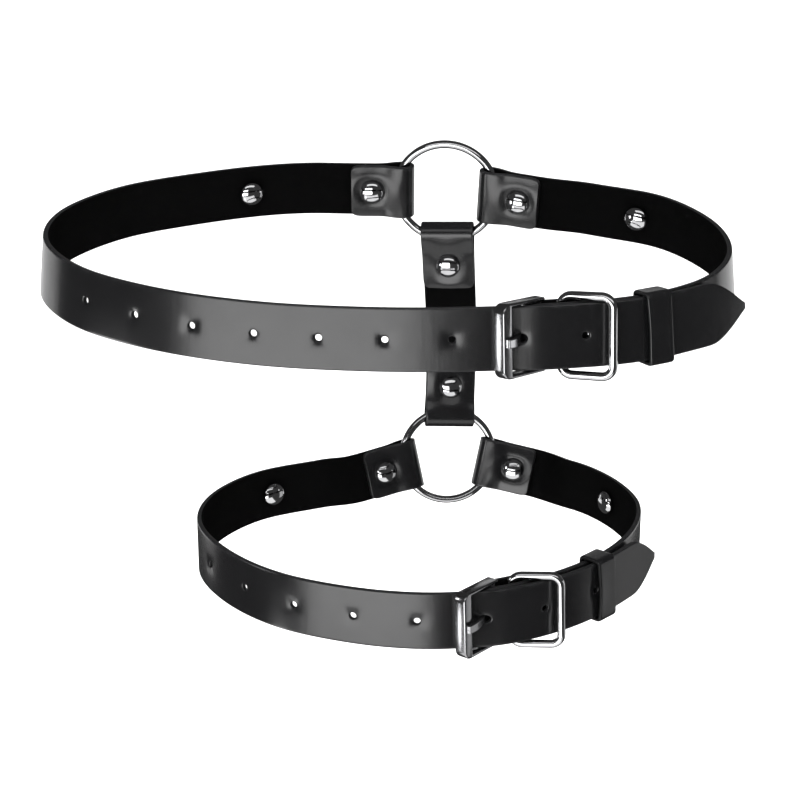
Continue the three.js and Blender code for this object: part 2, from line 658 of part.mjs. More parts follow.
function buildLoop(loop) {
  const line = new LoopLine(loop);
  const buckle = bucklePlace(line, loop);
  const ringPlace = line.at(0).shifted(0, loop.ring.rise, 0);
  const leftTab = ringTab(ringPlace, loop.leftTab.turn, loop.leftTab.bend);
  const rightTab = ringTab(ringPlace, 180 + loop.rightTab.turn, loop.rightTab.bend);
  const named = (piece) => `${loop.name}_${piece}`;
  const tabs = [leftTab(TAB_RIVET_REACH, 0), rightTab(TAB_RIVET_REACH, 0)];
  const sides = [line.at(loop.sideRivetReach), line.at(-loop.sideRivetReach)];
  const foldOffset = lift(FOLD_RIVET_REACH) - (STRAP_THICKNESS + GAP) / 2;
  const fold = line.at(loop.heelReach + FOLD_RIVET_REACH, foldOffset);
  const tongue = tongueLine(line, loop, buckle);

  const longStrap = cut(strip(longStrapStations(line, loop, leftTab)), [
    ...prongCutters(tongue, buckle),
    ...holePlaces(line, loop).map((place) => roundCutter(place, HOLE_RADIUS)),
    ...[tabs[0], sides[0]].map((place) => roundCutter(place, RIVET_HOLE_RADIUS)),
  ]);
  const buckleStrap = cut(strip(buckleStrapStations(line, loop, rightTab)), [
    slotCutter(line, loop),
    ...[tabs[1], sides[1], fold].map((place) => roundCutter(place, RIVET_HOLE_RADIUS)),
  ]);

  const twoLayers = 2 * STRAP_THICKNESS + GAP;
  const group = new THREE.Group();
  group.add(
    mesh(named('long_strap'), longStrap, LEATHER),
    mesh(named('buckle_strap'), buckleStrap, LEATHER),
    ring(named('ring'), ringPlace),
    buckleFrame(named('buckle_frame'), buckle),
    prong(named('buckle_prong'), tongue, buckle),
    wireKeeper(named('wire_keeper'), line, loop),
    leatherKeeper(named('leather_keeper'), line, loop),
    rivet(named('tab_rivet_left'), tabs[0], twoLayers),
    rivet(named('tab_rivet_right'), tabs[1], twoLayers),
    rivet(named('side_rivet_left'), sides[0], STRAP_THICKNESS + SIDE_RIVET_CURVE),
    rivet(named('side_rivet_right'), sides[1], STRAP_THICKNESS + SIDE_RIVET_CURVE),
    flatRivet(named('fold_rivet'), fold),
  );
  group.position.set(...loop.position);
  group.rotation.x = radians(loop.pitch);
  group.updateMatrixWorld();
  return { group, ringPlace: worldPlace(ringPlace, group) };
}

// A place inside a turned group, as the whole part sees it
function worldPlace(place, group) {
  const turn = (direction) => direction.clone().transformDirection(group.matrixWorld);
  const point = place.point.clone().applyMatrix4(group.matrixWorld);
  return new Place(point, turn(place.along), turn(place.across));
}

// The strap that joins the rings. Its ends fold round the bottom of the upper ring and the top
// of the lower one, and its width turns from one ring's plane to the other's.
function buildConnector(upper, lower) {
  const top = ringTab(upper, -90 - CONNECTOR_TURN, 0);
  const bottom = ringTab(lower, 90 + CONNECTOR_TURN, 0);
  const start = top(FLAP_REACH, LAYER_OFFSET);
  const end = bottom(FLAP_REACH, LAYER_OFFSET);
  const run = new THREE.CubicBezierCurve3(
    start.point,
    start.shifted(CONNECTOR_HANDLE, 0, 0).point,
    end.shifted(CONNECTOR_HANDLE, 0, 0).point,
    end.point,
  );
  const middle = Array.from({ length: CONNECTOR_STEPS - 1 }, (_, index) => {
    const share = (index + 1) / CONNECTOR_STEPS;
    const across = start.across.clone().lerp(end.across.clone().negate(), share).normalize();
    return { centre: run.getPoint(share), across, share: 1 };
  });
  const topEnd = foldedEnd(top, CONNECTOR_FLAP_REACH, 1);
  const bottomEnd = foldedEnd(bottom, CONNECTOR_FLAP_REACH, -1).reverse();
  const rivets = [top(CONNECTOR_RIVET_REACH, 0), bottom(CONNECTOR_RIVET_REACH, 0)];
  const geometry = cut(
    strip([...topEnd, ...middle, ...bottomEnd]),
    rivets.map((place) => roundCutter(place, RIVET_HOLE_RADIUS)),
  );
  const twoLayers = 2 * STRAP_THICKNESS + GAP;
  const group = new THREE.Group();
  group.add(
    mesh('connector_strap', geometry, LEATHER),
    rivet('connector_rivet_top', rivets[0], twoLayers),
    rivet('connector_rivet_bottom', rivets[1], twoLayers),
  );
  return group;
}

const upper = buildLoop(UPPER_LOOP);
const lower = buildLoop(LOWER_LOOP);
const harness = new THREE.Group();
harness.add(upper.group, lower.group, buildConnector(upper.ringPlace, lower.ringPlace));

export default harness;
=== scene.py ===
import math
from bisect import bisect_right
from collections import namedtuple
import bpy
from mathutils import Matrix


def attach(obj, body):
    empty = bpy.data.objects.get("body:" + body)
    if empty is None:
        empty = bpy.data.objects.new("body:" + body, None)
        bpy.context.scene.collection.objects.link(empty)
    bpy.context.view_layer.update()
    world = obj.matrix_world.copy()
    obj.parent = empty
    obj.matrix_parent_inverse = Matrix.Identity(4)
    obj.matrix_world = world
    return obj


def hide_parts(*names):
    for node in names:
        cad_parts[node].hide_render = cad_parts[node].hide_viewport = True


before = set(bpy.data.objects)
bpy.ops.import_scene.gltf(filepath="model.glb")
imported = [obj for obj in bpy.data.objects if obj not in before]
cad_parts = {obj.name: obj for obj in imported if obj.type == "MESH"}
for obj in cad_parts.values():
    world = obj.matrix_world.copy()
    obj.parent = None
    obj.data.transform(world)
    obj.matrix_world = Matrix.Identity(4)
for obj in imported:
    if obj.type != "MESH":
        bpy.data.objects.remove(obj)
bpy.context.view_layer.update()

from types import SimpleNamespace

import bmesh
import bpy
from mathutils import Matrix, Vector

# Shapes are worked out in millimetres, and each finished mesh is scaled to metres
MM = 0.001

# Clearance between pieces that touch
GAP = 0.3

# Points nearer than this become one
MERGE_DISTANCE = 0.001

# Turns a circle or a rod to face along Y
UPRIGHT = Matrix.Rotation(math.pi / 2, 4, "X")

# Leather
STRAP_WIDTH = 20
STRAP_THICKNESS = 2
KEEPER_THICKNESS = 1.3
KEEPER_LENGTH = 8.6
ROW_STEP = 4
SMOOTH_LEVELS = 2

# Lines across a strap, as shares of half its width, with a close pair that rounds each edge
STRAP_COLUMNS = (-1, -0.95, -0.6, -0.3, 0, 0.3, 0.6, 0.95, 1)
NARROW_COLUMNS = (-1, -0.75, 0, 0.75, 1)

# A hole is punched from four cells, which reach this far along the strap and across it. Its edge
# is a ring of eight corners, set out by a ratio because the smoothing draws it in, and a second
# ring further out keeps it firm. Both start as insets.
HOLE_FRAME = 3
PUNCHED_HALF_WIDTH = 3
HOLE_INSET = 0.3
HOLE_RING = 1.11
HOLE_SUPPORT = 1.35

# Relief stays this near the strap's middle, clear of its edges
RELIEF_HALF_WIDTH = 9.2

# Folded leather swells round its rivet. The swelling starts at one distance from the rivet, is
# highest at the next and ends at the last.
PILLOW_HEIGHT = 0.85
PILLOW_START = 3
PILLOW_CREST = 7
PILLOW_REACH = 13

# Rings and wires
RING_OUTER_DIAMETER = 40.4
RING_WIRE = 3
WIRE_SIDES = 20
RING_SEGMENTS = 96

# A strap's fold round a ring, by distance from the ring's centre. The strap bends in from the
# ring's plane at the hinge. Its two layers stand apart up to the spread's end, lie together from
# the closed reach on, and the strap is on the loop's own line from the settled reach on. The flap
# lies on the loop's inner side.
FOLD_SLACK = 0.75
FOLD_RADIUS = RING_WIRE / 2 + FOLD_SLACK + STRAP_THICKNESS / 2
FOLD_CENTRE = 16.25
FOLD_STEPS = 14
HINGE_REACH = 17.4
SPREAD_END = 17.2
CLOSED_FROM = 24.8
CLOSING_STEPS = 4
FLAP_REACH = 36
SETTLED_REACH = 56
LAYER_OFFSET = (STRAP_THICKNESS + GAP) / 2
FLAP_CORNER = 2.5
FLAP_STEPS = (0, 0.4, 1, 2.5)

# Rivets: a domed cap on each end of a post. A seat is a cap's height over the leather's middle.
RIVET_CAP_RADIUS = 4.5
RIVET_CAP_HEIGHT = 2.6
RIVET_RIM = 0.5
RIVET_LIP = 0.25
RIVET_LIP_CORNER = (0.06, 0.08)
RIVET_DOME_STEPS = 10
RIVET_SEAT = 0.35
RIVET_POST_RADIUS = 1.5
RIVET_HOLE_RADIUS = 2.1
RIVET_TURNS = 40
TAB_RIVET_REACH = 28
SIDE_RIVET_CURVE = 0.5
ONE_LAYER_SEAT = (STRAP_THICKNESS + SIDE_RIVET_CURVE) / 2 + RIVET_SEAT
TWO_LAYER_SEAT = STRAP_THICKNESS + GAP / 2 + RIVET_SEAT

# A flat rivet's head, by radius and height over its seat
FLAT_RIVET_HEAD = ((3.4, 0), (3.5, 0.15), (3.45, 0.3), (3.2, 0.47), (2.1, 0.5), (0, 0.5))

# Adjustment holes, and the one that the prong stretches
HOLE_RADIUS = 1.05
PRONG_HOLE = SimpleNamespace(shift=0.5, frame=4, length=1.7, width=1.45)
DISH_DEPTH = 0.6
DISH_REACH = 3

# Buckle: a flat open frame on a round heel bar
BAR_RADIUS = 1.6
BUCKLE_LENGTH = 14.4
BUCKLE_PLATE = 4.6
BUCKLE_OUTER_HEIGHT = 23.2
BUCKLE_INNER_HEIGHT = 20.8
FREE_BAR_WIDTH = 3.8
BUCKLE_CORNER = 3
BUCKLE_HEEL_END = 1.8
BUCKLE_ROUNDING = 0.55
ROUNDING_STEPS = 3
SHARP_ANGLE = 30
CORNER_TURNS = 8
BAR_SIDES = 26
BAR_INTO_ARMS = 1

# Prong: a tongue curled round the heel bar, which comes out by its hole and rests on the free bar.
# Entry and exit are measured from the middle of the hole. A row at the support's share of a
# straight keeps it firm.
PRONG_WIDTH = 3
PRONG_THICKNESS = 1.7
PRONG_CURL = BAR_RADIUS + GAP + PRONG_THICKNESS / 2
PRONG_CURL_START = -40
PRONG_CURL_STEPS = 14
PRONG_ENTRY = Vector((-1.4, -0.8))
PRONG_EXIT = Vector((0.9, 0.6))
PRONG_SHOULDER = BUCKLE_LENGTH - 2.6
PRONG_TIP = BUCKLE_LENGTH + 1.8
PRONG_REST = BUCKLE_PLATE / 2 + GAP + PRONG_THICKNESS / 2
PRONG_SUPPORT = 0.6
PRONG_END_STEP = 0.4

# The buckle strap's fold round the heel bar, by distance from the bar. It lifts the strap from the
# loop's line, and leaves room for the wire keeper before its flap closes.
HEEL_LIFT = 1.1
LIFT_FROM = 17
LIFT_TO = 7
HEEL_SLACK = 0.5
HEEL_FOLD_RADIUS = BAR_RADIUS + HEEL_SLACK + STRAP_THICKNESS / 2
BUCKLE_FLAP = 23
BUCKLE_FLAP_STEPS = (8, 10, 12)
WIRE_ROOM_END = 10
BUCKLE_FLAP_CLOSED = 14
FOLD_RIVET_REACH = 18.5
SLOT_INSET = 1
SLOT_REACH = 5.2

# The long strap lies over the buckle strap. It starts to climb, comes up to the buckle and is over
# the heel bar at these distances before the bar.
OVERLAP_OFFSET = 3.55
CLIMB_REACHES = (62, 11, -3)
CLIMB_AT_BUCKLE = 1.9

# Wire keeper
KEEPER_WIRE = 2.8
WIRE_KEEPER_REACH = 7.6
WIRE_KEEPER_SPAN = 13.7
WIRE_KEEPER_STAND_OFF = 1.2
WIRE_KEEPER_DROP = 0.6
WIRE_KEEPER_HALF_HEIGHT = 12.4
WIRE_KEEPER_CORNER = 3.6

# Leather keeper
KEEPER_SLACK = 0.4
KEEPER_CORNER = 1.3
KEEPER_LIFT = 0.7
KEEPER_END_GAP = 0.2
KEEPER_CORNER_STEPS = 4
KEEPER_SIDE_ROW = 2.2
KEEPER_FACE_ROWS = (-0.8, -0.4, 0, 0.4, 0.8)

# Free end of the long strap
TIP_LENGTH = 14.5
TIP_POWER = 1.5
TIP_BLUNT = 0.06
TIP_STEPS = 8
FREE_END_RADIUS = 260

# Connector between the rings
CONNECTOR_FLAP_REACH = 38.5
CONNECTOR_RIVET_REACH = 29
CONNECTOR_TURN = 3
CONNECTOR_HANDLE = 20
CONNECTOR_STEPS = 12

# Each loop's line is given by points that it passes, from the ring round the left side. A third
# number is a point's height. The heel bar, the side rivets and the ends of the fades are given by
# their distance from the ring along this line, the prong's hole and the keeper by their distance
# from the heel bar, and the free end by its length past the keeper. Pitch, lean, sway, turns, bends
# and tilt are in degrees. Sway is added to the wall's lean at the front and taken off at the back.
UPPER_LOOP = SimpleNamespace(
    name="upper", position=(0, 0, 0), pitch=0, lean=-7.5, sway=-7, ring_lean=1, ring_rise=-0.6,
    left_turn=0, left_bend=7, left_fade=75, right_turn=2, right_bend=14, right_fade=42,
    side_rivet=74, heel=359.6, buckle_tilt=35, prong_hole=6.2, hole_pitch=20.2, holes_before=7,
    holes_after=1, keeper=36.4, free_end=30.3,
    line=[
        (21.5, 60.5), (9.6, 62), (-2.5, 63.5), (-40, 62), (-72, 51.5), (-98, 37),
        (-114.3, 14), (-115, -10), (-101, -32.5), (-76, -49), (-42, -60.5), (-5, -65),
        (30, -64), (50, -62), (70, -58.8), (86, -53.2), (103, -41), (113, -21),
        (112, 4), (98, 28.5), (76, 40.5), (45, 55.5), (33.4, 58.8),
    ],
)
LOWER_LOOP = SimpleNamespace(
    name="lower", position=(12, -6, -108.4), pitch=-7, lean=0, sway=-6.5, ring_lean=12.5, ring_rise=1,
    left_turn=-10.5, left_bend=17, left_fade=66, right_turn=13, right_bend=18, right_fade=66,
    side_rivet=78.5, heel=258.9, buckle_tilt=31, prong_hole=4.2, hole_pitch=21.4, holes_before=5,
    holes_after=2, keeper=42, free_end=28.5,
    line=[
        (12, 66), (0.2, 63.5), (-12, 57.5, -2), (-37, 43.5, -1), (-64, 28), (-78.5, 8),
        (-80.5, -13), (-70, -34), (-49, -53), (-20, -63.8), (8, -65.5), (26, -61.5),
        (46, -52), (64, -37), (76, -18.5), (80.3, 1), (76, 18.5), (65, 37.5, -1),
        (47.5, 53, -2.6), (36, 61, -2.5), (24, 66),
    ],
)
LINE_STEPS = 60
TANGENT_STEP = 0.5

# Finishes
LEATHER_BLACK = (0.0035, 0.0035, 0.0038)
LEATHER_WORN = (0.009, 0.009, 0.0095)
FLESH_DARK = (0.0006, 0.0006, 0.0006)
FLESH_LIGHT = (0.0016, 0.0016, 0.0017)
EDGE_DARK = (0.003, 0.003, 0.003)
EDGE_LIGHT = (0.009, 0.009, 0.0095)
NICKEL_DARK = (0.46, 0.46, 0.47)
NICKEL_LIGHT = (0.6, 0.6, 0.61)
GUNMETAL_DARK = (0.3, 0.3, 0.31)
GUNMETAL_LIGHT = (0.4, 0.4, 0.41)
FLOOR_PAPER = (0.86, 0.86, 0.86, 1)

# Studio, in metres. The floor's rim goes out and up by these steps.
FLOOR_HEIGHT = -0.6
FLOOR_RADIUS = 1.4
FLOOR_SIDES = 64
FLOOR_RIM = ((0.35, 0.1), (0.3, 0.35), (0.1, 0.9), (0, 1.2))
CAMERA_PLACE = (0.00417, -0.4725, 0.2026)
CAMERA_PITCH = 28.76
CAMERA_LENS = 67.5
SUBJECT = Vector((0, 0, -0.05))
ROOM_COLOUR = (0.06, 0.06, 0.06, 1)

# A softbox faces the subject from its turn, in degrees from the front and positive to the right,
# and its rise above the horizon. Brightness is that of its surface.
Softbox = namedtuple("Softbox", "name turn rise distance width height brightness")
SOFTBOXES = (
    Softbox("front_box", -22.5, -2, 1.3, 1.04, 0.8, 4.8),
    Softbox("camera_box", 0, 48, 1.2, 1.6, 0.45, 1.4),
    Softbox("low_front_box", -10, -46, 0.5, 0.8, 0.42, 1.3),
    Softbox("upper_side_card", -65.5, 0.7, 0.176, 0.034, 0.046, 9),
    Softbox("lower_side_card", -51, -33, 0.236, 0.026, 0.038, 8),
    Softbox("upper_face_card", 76.7, -1.1, 0.405, 0.05, 0.06, 1.8),
    Softbox("right_box", 88, -17, 0.75, 0.35, 0.45, 0.6),
    Softbox("back_box", 180, 4, 1.2, 1, 0.3, 0.6),
    Softbox("back_left_box", -130, -18, 1, 0.75, 0.42, 1.3),
    Softbox("back_right_box", 130, -18, 1, 0.75, 0.42, 1.3),
)
TOP_LIGHT = Softbox("top_light", 0, 90, 1.35, 2.2, 2.2, 5.9)

Row = namedtuple("Row", "centre across share")
Hole = namedtuple("Hole", "reach frame length width")

BMVert = bmesh.types.BMVert
BMEdge = bmesh.types.BMEdge


def only(items, kind):
    return [item for item in items if isinstance(item, kind)]


def mix(low, high, share):
    return low + (high - low) * share


def ease(value, low, high):
    share = min(1, max(0, (value - low) / (high - low)))
    return share * share * (3 - 2 * share)


def round_hole(reach, radius):
    return Hole(reach, HOLE_FRAME, radius, radius)


def distances_along(rows):
    """Each row's distance from the first, along the leather."""
    found = [0]
    for start, end in zip(rows, rows[1:]):
        found.append(found[-1] + (end.centre - start.centre).length)
    return found


class Place:
    """A point with the directions along, across and out of a strap's face."""

    def __init__(self, point, along, across):
        self.point = point
        self.along = along.normalized()
        self.across = across.normalized()
        self.out = self.along.cross(self.across).normalized()

    def shifted(self, along, across, out):
        point = self.point + self.along * along + self.across * across + self.out * out
        return Place(point, self.along, self.across)

    def matrix(self):
        turn = Matrix((self.along, self.across, self.out)).transposed().to_4x4()
        return Matrix.Translation(self.point) @ turn

    def inside(self, group):
        """The same place, where the group that holds it stands in the harness."""
        turn = group.to_3x3()
        return Place(group @ self.point, turn @ self.along, turn @ self.across)


def curve_point(before, start, end, after, share):
    """A point between start and end on a centripetal curve through all four."""
    gaps = [(b - a).length ** 0.5 for a, b in ((before, start), (start, end), (end, after))]
    leave = (start - before) / gaps[0] - (end - before) / (gaps[0] + gaps[1]) + (end - start) / gaps[1]
    arrive = (end - start) / gaps[1] - (after - start) / (gaps[1] + gaps[2]) + (after - end) / gaps[2]
    leave, arrive = leave * gaps[1], arrive * gaps[1]
    square = (end - start) * 3 - leave * 2 - arrive
    cube = (start - end) * 2 + leave + arrive
    return start + leave * share + square * share ** 2 + cube * share ** 3


class LoopLine:
    """The line that a loop's strap follows, by distance from the ring."""

    def __init__(self, loop):
        self.loop = loop
        corners = [Vector(point).to_3d() for point in loop.line]
        count = len(corners)
        self.points = []
        for index in range(count):
            span = [corners[(index + step) % count] for step in (-1, 0, 1, 2)]
            self.points += [curve_point(*span, step / LINE_STEPS) for step in range(LINE_STEPS)]
        self.points.append(self.points[0])
        self.reaches = [0]
        for start, end in zip(self.points, self.points[1:]):
            self.reaches.append(self.reaches[-1] + (end - start).length)
        self.length = self.reaches[-1]

    def point(self, reach):
        reach %= self.length
        index = min(bisect_right(self.reaches, reach), len(self.points) - 1)
        before = self.reaches[index - 1]
        share = (reach - before) / (self.reaches[index] - before)
        return self.points[index - 1].lerp(self.points[index], share)

    def lean(self, reach, outward):
        sides = ((reach, self.loop.left_fade), (self.length - reach, self.loop.right_fade))
        fade = min(ease(from_ring, CLOSED_FROM, end) for from_ring, end in sides)
        own = self.loop.lean - self.loop.sway * outward.y
        return math.radians(mix(self.loop.ring_lean, own, fade))

    def at(self, distance, offset=0):
        reach = distance % self.length
        ahead, behind = self.point(reach + TANGENT_STEP), self.point(reach - TANGENT_STEP)
        along = (ahead - behind).normalized()
        outward = Vector((along.y, -along.x, 0)).normalized()
        lean = self.lean(reach, outward)
        across = outward.cross(along) * math.cos(lean) + outward * math.sin(lean)
        return Place(self.point(reach), along, across).shifted(0, 0, offset)


class Leather:
    """A strip by its rows, with the rows that have a hole, a swelling or an end of its slot."""

    def __init__(self):
        self.rows = []
        self.holes = []
        self.pillows = []
        self.slot = None

    def add(self, centre, across, share=1):
        self.rows.append(Row(centre, across.normalized(), share))

    def punch(self, length, width=None):
        """A hole in the middle of the row that was added last."""
        self.holes.append((len(self.rows) - 1, length, width or length))

    def join_reversed(self, other):
        """Adds another strip, from its end to its start."""
        last = len(self.rows) + len(other.rows) - 1
        self.rows += other.rows[::-1]
        self.holes += [(last - index, length, width) for index, length, width in other.holes]
        self.pillows += [last - index for index in other.pillows]


def flap_share(from_end):
    """The strap's share of its full width near its flap's end, whose corners are round."""
    in_corner = max(0, FLAP_CORNER - from_end)
    drop = FLAP_CORNER - math.sqrt(FLAP_CORNER ** 2 - in_corner ** 2)
    return 1 - 2 * drop / STRAP_WIDTH


def spread(reach):
    """How far each layer of a fold lies from the fold's middle."""
    return mix(FOLD_RADIUS, LAYER_OFFSET, ease(reach, SPREAD_END, CLOSED_FROM))


def turned(direction, axis, degrees):
    return Matrix.Rotation(math.radians(degrees), 3, axis) @ direction


def ring_tab(ring, turn, bend):
    """Places along a strap that leaves a ring, turned in its plane and bent inwards at the wire."""
    away = turned(ring.along, ring.out, turn)
    across = turned(ring.across, ring.out, turn)
    hinge = Place(ring.point + away * HINGE_REACH, turned(away, across, bend), across)
    return lambda reach, offset: hinge.shifted(reach - HINGE_REACH, 0, offset)


def folded_end(leather, tab, flap_reach, rivet_reach, side):
    """A strap's end, from its flap round a ring and back out to the flap's distance."""
    def add(reach, offset, share=1):
        place = tab(reach, offset)
        leather.add(place.point, place.across * side, share)

    def rivet_rows(offset, reaches):
        for reach in reaches:
            add(reach, offset)
            if reach == rivet_reach:
                leather.punch(RIVET_HOLE_RADIUS)
                leather.pillows.append(len(leather.rows) - 1)

    for from_end in FLAP_STEPS:
        add(flap_reach - from_end, -LAYER_OFFSET, flap_share(from_end))
    frame_rows = [rivet_reach + HOLE_FRAME, rivet_reach, rivet_reach - HOLE_FRAME]
    rivet_rows(-LAYER_OFFSET, frame_rows)
    step = (SPREAD_END - CLOSED_FROM) / CLOSING_STEPS
    closing = [CLOSED_FROM + step * (index + 1) for index in range(CLOSING_STEPS)]
    for reach in closing:
        add(reach, -spread(reach))
    for step in range(FOLD_STEPS + 1):
        angle = math.pi * (step / FOLD_STEPS - 0.5)
        add(FOLD_CENTRE - FOLD_RADIUS * math.cos(angle), FOLD_RADIUS * math.sin(angle))
    for reach in reversed(closing):
        add(reach, spread(reach))
    rivet_rows(LAYER_OFFSET, frame_rows[::-1])
    add(flap_reach - FLAP_CORNER, LAYER_OFFSET)


def rows_between(start, end, holes):
    """Distances after start, no further apart than a step, with a hole's own rows among them."""
    knots = {start, end}
    for hole in holes:
        knots.update((hole.reach - hole.frame, hole.reach, hole.reach + hole.frame))
    knots = sorted(knots)
    rows = []
    for low, high in zip(knots, knots[1:]):
        count = max(1, round((high - low) / ROW_STEP))
        rows += [mix(low, high, (index + 1) / count) for index in range(count)]
    return rows


def add_run(leather, tab, place_at, start, end, side, holes):
    """A strap's main run, which leaves the tab's straight line for the loop's own line."""
    sizes = {hole.reach: (hole.length, hole.width) for hole in holes}
    for reach in rows_between(start, end, holes):
        settled = ease(reach, FLAP_REACH, SETTLED_REACH)
        straight = tab(reach, LAYER_OFFSET)
        place = place_at(reach)
        across = (straight.across * side).lerp(place.across, settled)
        leather.add(straight.point.lerp(place.point, settled), across)
        if reach in sizes:
            leather.punch(*sizes[reach])


def climb(reach, heel):
    """How far the long strap stands out, first up to the buckle and then over its heel bar."""
    far, middle, near = (heel - from_heel for from_heel in CLIMB_REACHES)
    over_bar = OVERLAP_OFFSET - CLIMB_AT_BUCKLE
    return CLIMB_AT_BUCKLE * ease(reach, far, middle) + over_bar * ease(reach, middle, near)


def lift(from_heel):
    """How far the buckle strap stands out near the heel bar."""
    return HEEL_LIFT * (1 - ease(from_heel, LIFT_TO, LIFT_FROM))


def tip_share(from_shoulder):
    """The strap's share of its full width in its pointed end."""
    return max(TIP_BLUNT, 1 - (from_shoulder / TIP_LENGTH) ** TIP_POWER)


def hole_reaches(loop):
    """Distances of the open adjustment holes from the ring."""
    indexes = [i for i in range(-loop.holes_before, loop.holes_after + 1) if i]
    return [loop.heel - loop.prong_hole + index * loop.hole_pitch for index in indexes]


def add_free_end(leather, line, start, hole_places):
    """The long strap's last stretch, which stands off the loop and ends in a point."""
    stand = line.at(start, OVERLAP_OFFSET)
    shoulder = line.loop.free_end - TIP_LENGTH
    holes = [round_hole(reach, HOLE_RADIUS) for reach in hole_places]
    tips = [shoulder + TIP_LENGTH * (index + 1) / TIP_STEPS for index in range(TIP_STEPS)]
    for distance in rows_between(0, shoulder, holes) + tips:
        drop = distance ** 2 / (2 * FREE_END_RADIUS)
        place = stand.shifted(distance, 0, -drop)
        leather.add(place.point, place.across, tip_share(max(0, distance - shoulder)))
        if distance in hole_places:
            leather.punch(HOLE_RADIUS)


def long_strap(line, tab):
    loop, leather = line.loop, Leather()
    folded_end(leather, tab, FLAP_REACH, TAB_RIVET_REACH, 1)
    keeper_end = loop.heel + loop.keeper + KEEPER_LENGTH / 2
    near = [reach for reach in hole_reaches(loop) if reach + HOLE_FRAME < keeper_end]
    holes = [round_hole(reach, HOLE_RADIUS) for reach in near]
    holes.append(round_hole(loop.side_rivet, RIVET_HOLE_RADIUS))
    worn = PRONG_HOLE
    holes.append(Hole(loop.heel - loop.prong_hole + worn.shift, worn.frame, worn.length, worn.width))
    add_run(leather, tab, lambda reach: line.at(reach, climb(reach, loop.heel)),
            FLAP_REACH - FLAP_CORNER, keeper_end, 1, holes)
    past = [reach - keeper_end for reach in hole_reaches(loop) if reach not in near]
    add_free_end(leather, line, keeper_end, past)
    return leather


def add_heel_fold(leather, line):
    """The buckle strap's half turn round the heel bar."""
    for step in range(1, FOLD_STEPS + 1):
        angle = math.pi * (0.5 - step / FOLD_STEPS)
        offset = HEEL_LIFT + HEEL_FOLD_RADIUS * (math.sin(angle) - 1)
        place = line.at(line.loop.heel - HEEL_FOLD_RADIUS * math.cos(angle), offset)
        leather.add(place.point, place.across)


def add_buckle_flap(leather, line):
    """The layer behind the buckle strap, from its fold to its end past the rivet."""
    rivet = FOLD_RIVET_REACH
    reaches = [SLOT_REACH, *BUCKLE_FLAP_STEPS, rivet - HOLE_FRAME, rivet, rivet + HOLE_FRAME]
    reaches += [BUCKLE_FLAP - from_end for from_end in reversed(FLAP_STEPS[:-1])]
    for reach in reaches:
        closed = ease(reach, WIRE_ROOM_END, BUCKLE_FLAP_CLOSED)
        apart = mix(2 * HEEL_FOLD_RADIUS, STRAP_THICKNESS + GAP, closed)
        place = line.at(line.loop.heel + reach, lift(reach) - apart)
        leather.add(place.point, place.across, flap_share(BUCKLE_FLAP - reach))
        if reach == rivet:
            leather.punch(RIVET_HOLE_RADIUS)


def buckle_strap(line, tab):
    loop, leather = line.loop, Leather()
    folded_end(leather, tab, FLAP_REACH, TAB_RIVET_REACH, -1)
    run_end = line.length - loop.heel
    rivets = (loop.side_rivet, run_end - FOLD_RIVET_REACH)
    holes = [round_hole(reach, RIVET_HOLE_RADIUS) for reach in rivets]
    add_run(leather, tab, lambda reach: line.at(-reach, lift(run_end - reach)),
            FLAP_REACH - FLAP_CORNER, run_end, -1, holes)
    slot_start = len(leather.rows) - 2
    add_heel_fold(leather, line)
    leather.slot = (slot_start, len(leather.rows))
    add_buckle_flap(leather, line)
    return leather


def handle_curve(points, share):
    """A point on the smooth curve from the first point to the last, drawn by those between."""
    while len(points) > 1:
        points = [low.lerp(high, share) for low, high in zip(points, points[1:])]
    return points[0]


def connector_tabs(upper, lower):
    """The connector's straight ends, down from the upper ring and up from the lower one."""
    return ring_tab(upper, -90 - CONNECTOR_TURN, 0), ring_tab(lower, 90 + CONNECTOR_TURN, 0)


def connector(top, bottom):
    """The strap that joins the rings, turned from one ring's plane to the other's."""
    leather, rest = Leather(), Leather()
    folded_end(leather, top, CONNECTOR_FLAP_REACH, CONNECTOR_RIVET_REACH, 1)
    folded_end(rest, bottom, CONNECTOR_FLAP_REACH, CONNECTOR_RIVET_REACH, -1)
    start = top(CONNECTOR_FLAP_REACH - FLAP_CORNER, LAYER_OFFSET)
    end = bottom(CONNECTOR_FLAP_REACH - FLAP_CORNER, LAYER_OFFSET)
    handles = [
        start.point,
        start.shifted(CONNECTOR_HANDLE, 0, 0).point,
        end.shifted(CONNECTOR_HANDLE, 0, 0).point,
        end.point,
    ]
    for step in range(1, CONNECTOR_STEPS):
        share = step / CONNECTOR_STEPS
        leather.add(handle_curve(handles, share), start.across.lerp(-end.across, share))
    leather.join_reversed(rest)
    return leather


def flat_grid(distances, columns, half_width, shares):
    """A sheet in the plane, X along it and Y across, with a line for each distance and column."""
    bm = bmesh.new()
    lines, rows = len(distances) - 1, len(columns) - 1
    bmesh.ops.create_grid(bm, x_segments=lines, y_segments=rows, size=1)
    for vert in bm.verts:
        index = round((vert.co.x + 1) / 2 * lines)
        column = round((vert.co.y + 1) / 2 * rows)
        vert.co = (distances[index], columns[column] * half_width * shares[index], 0)
    return bm


def cells_between(bm, low, high):
    """The cells in the strap's middle that a hole or a slot takes."""
    def inside(face):
        middle = face.calc_center_median()
        return low < middle.x < high and abs(middle.y) < PUNCHED_HALF_WIDTH
    return [face for face in bm.faces if inside(face)]


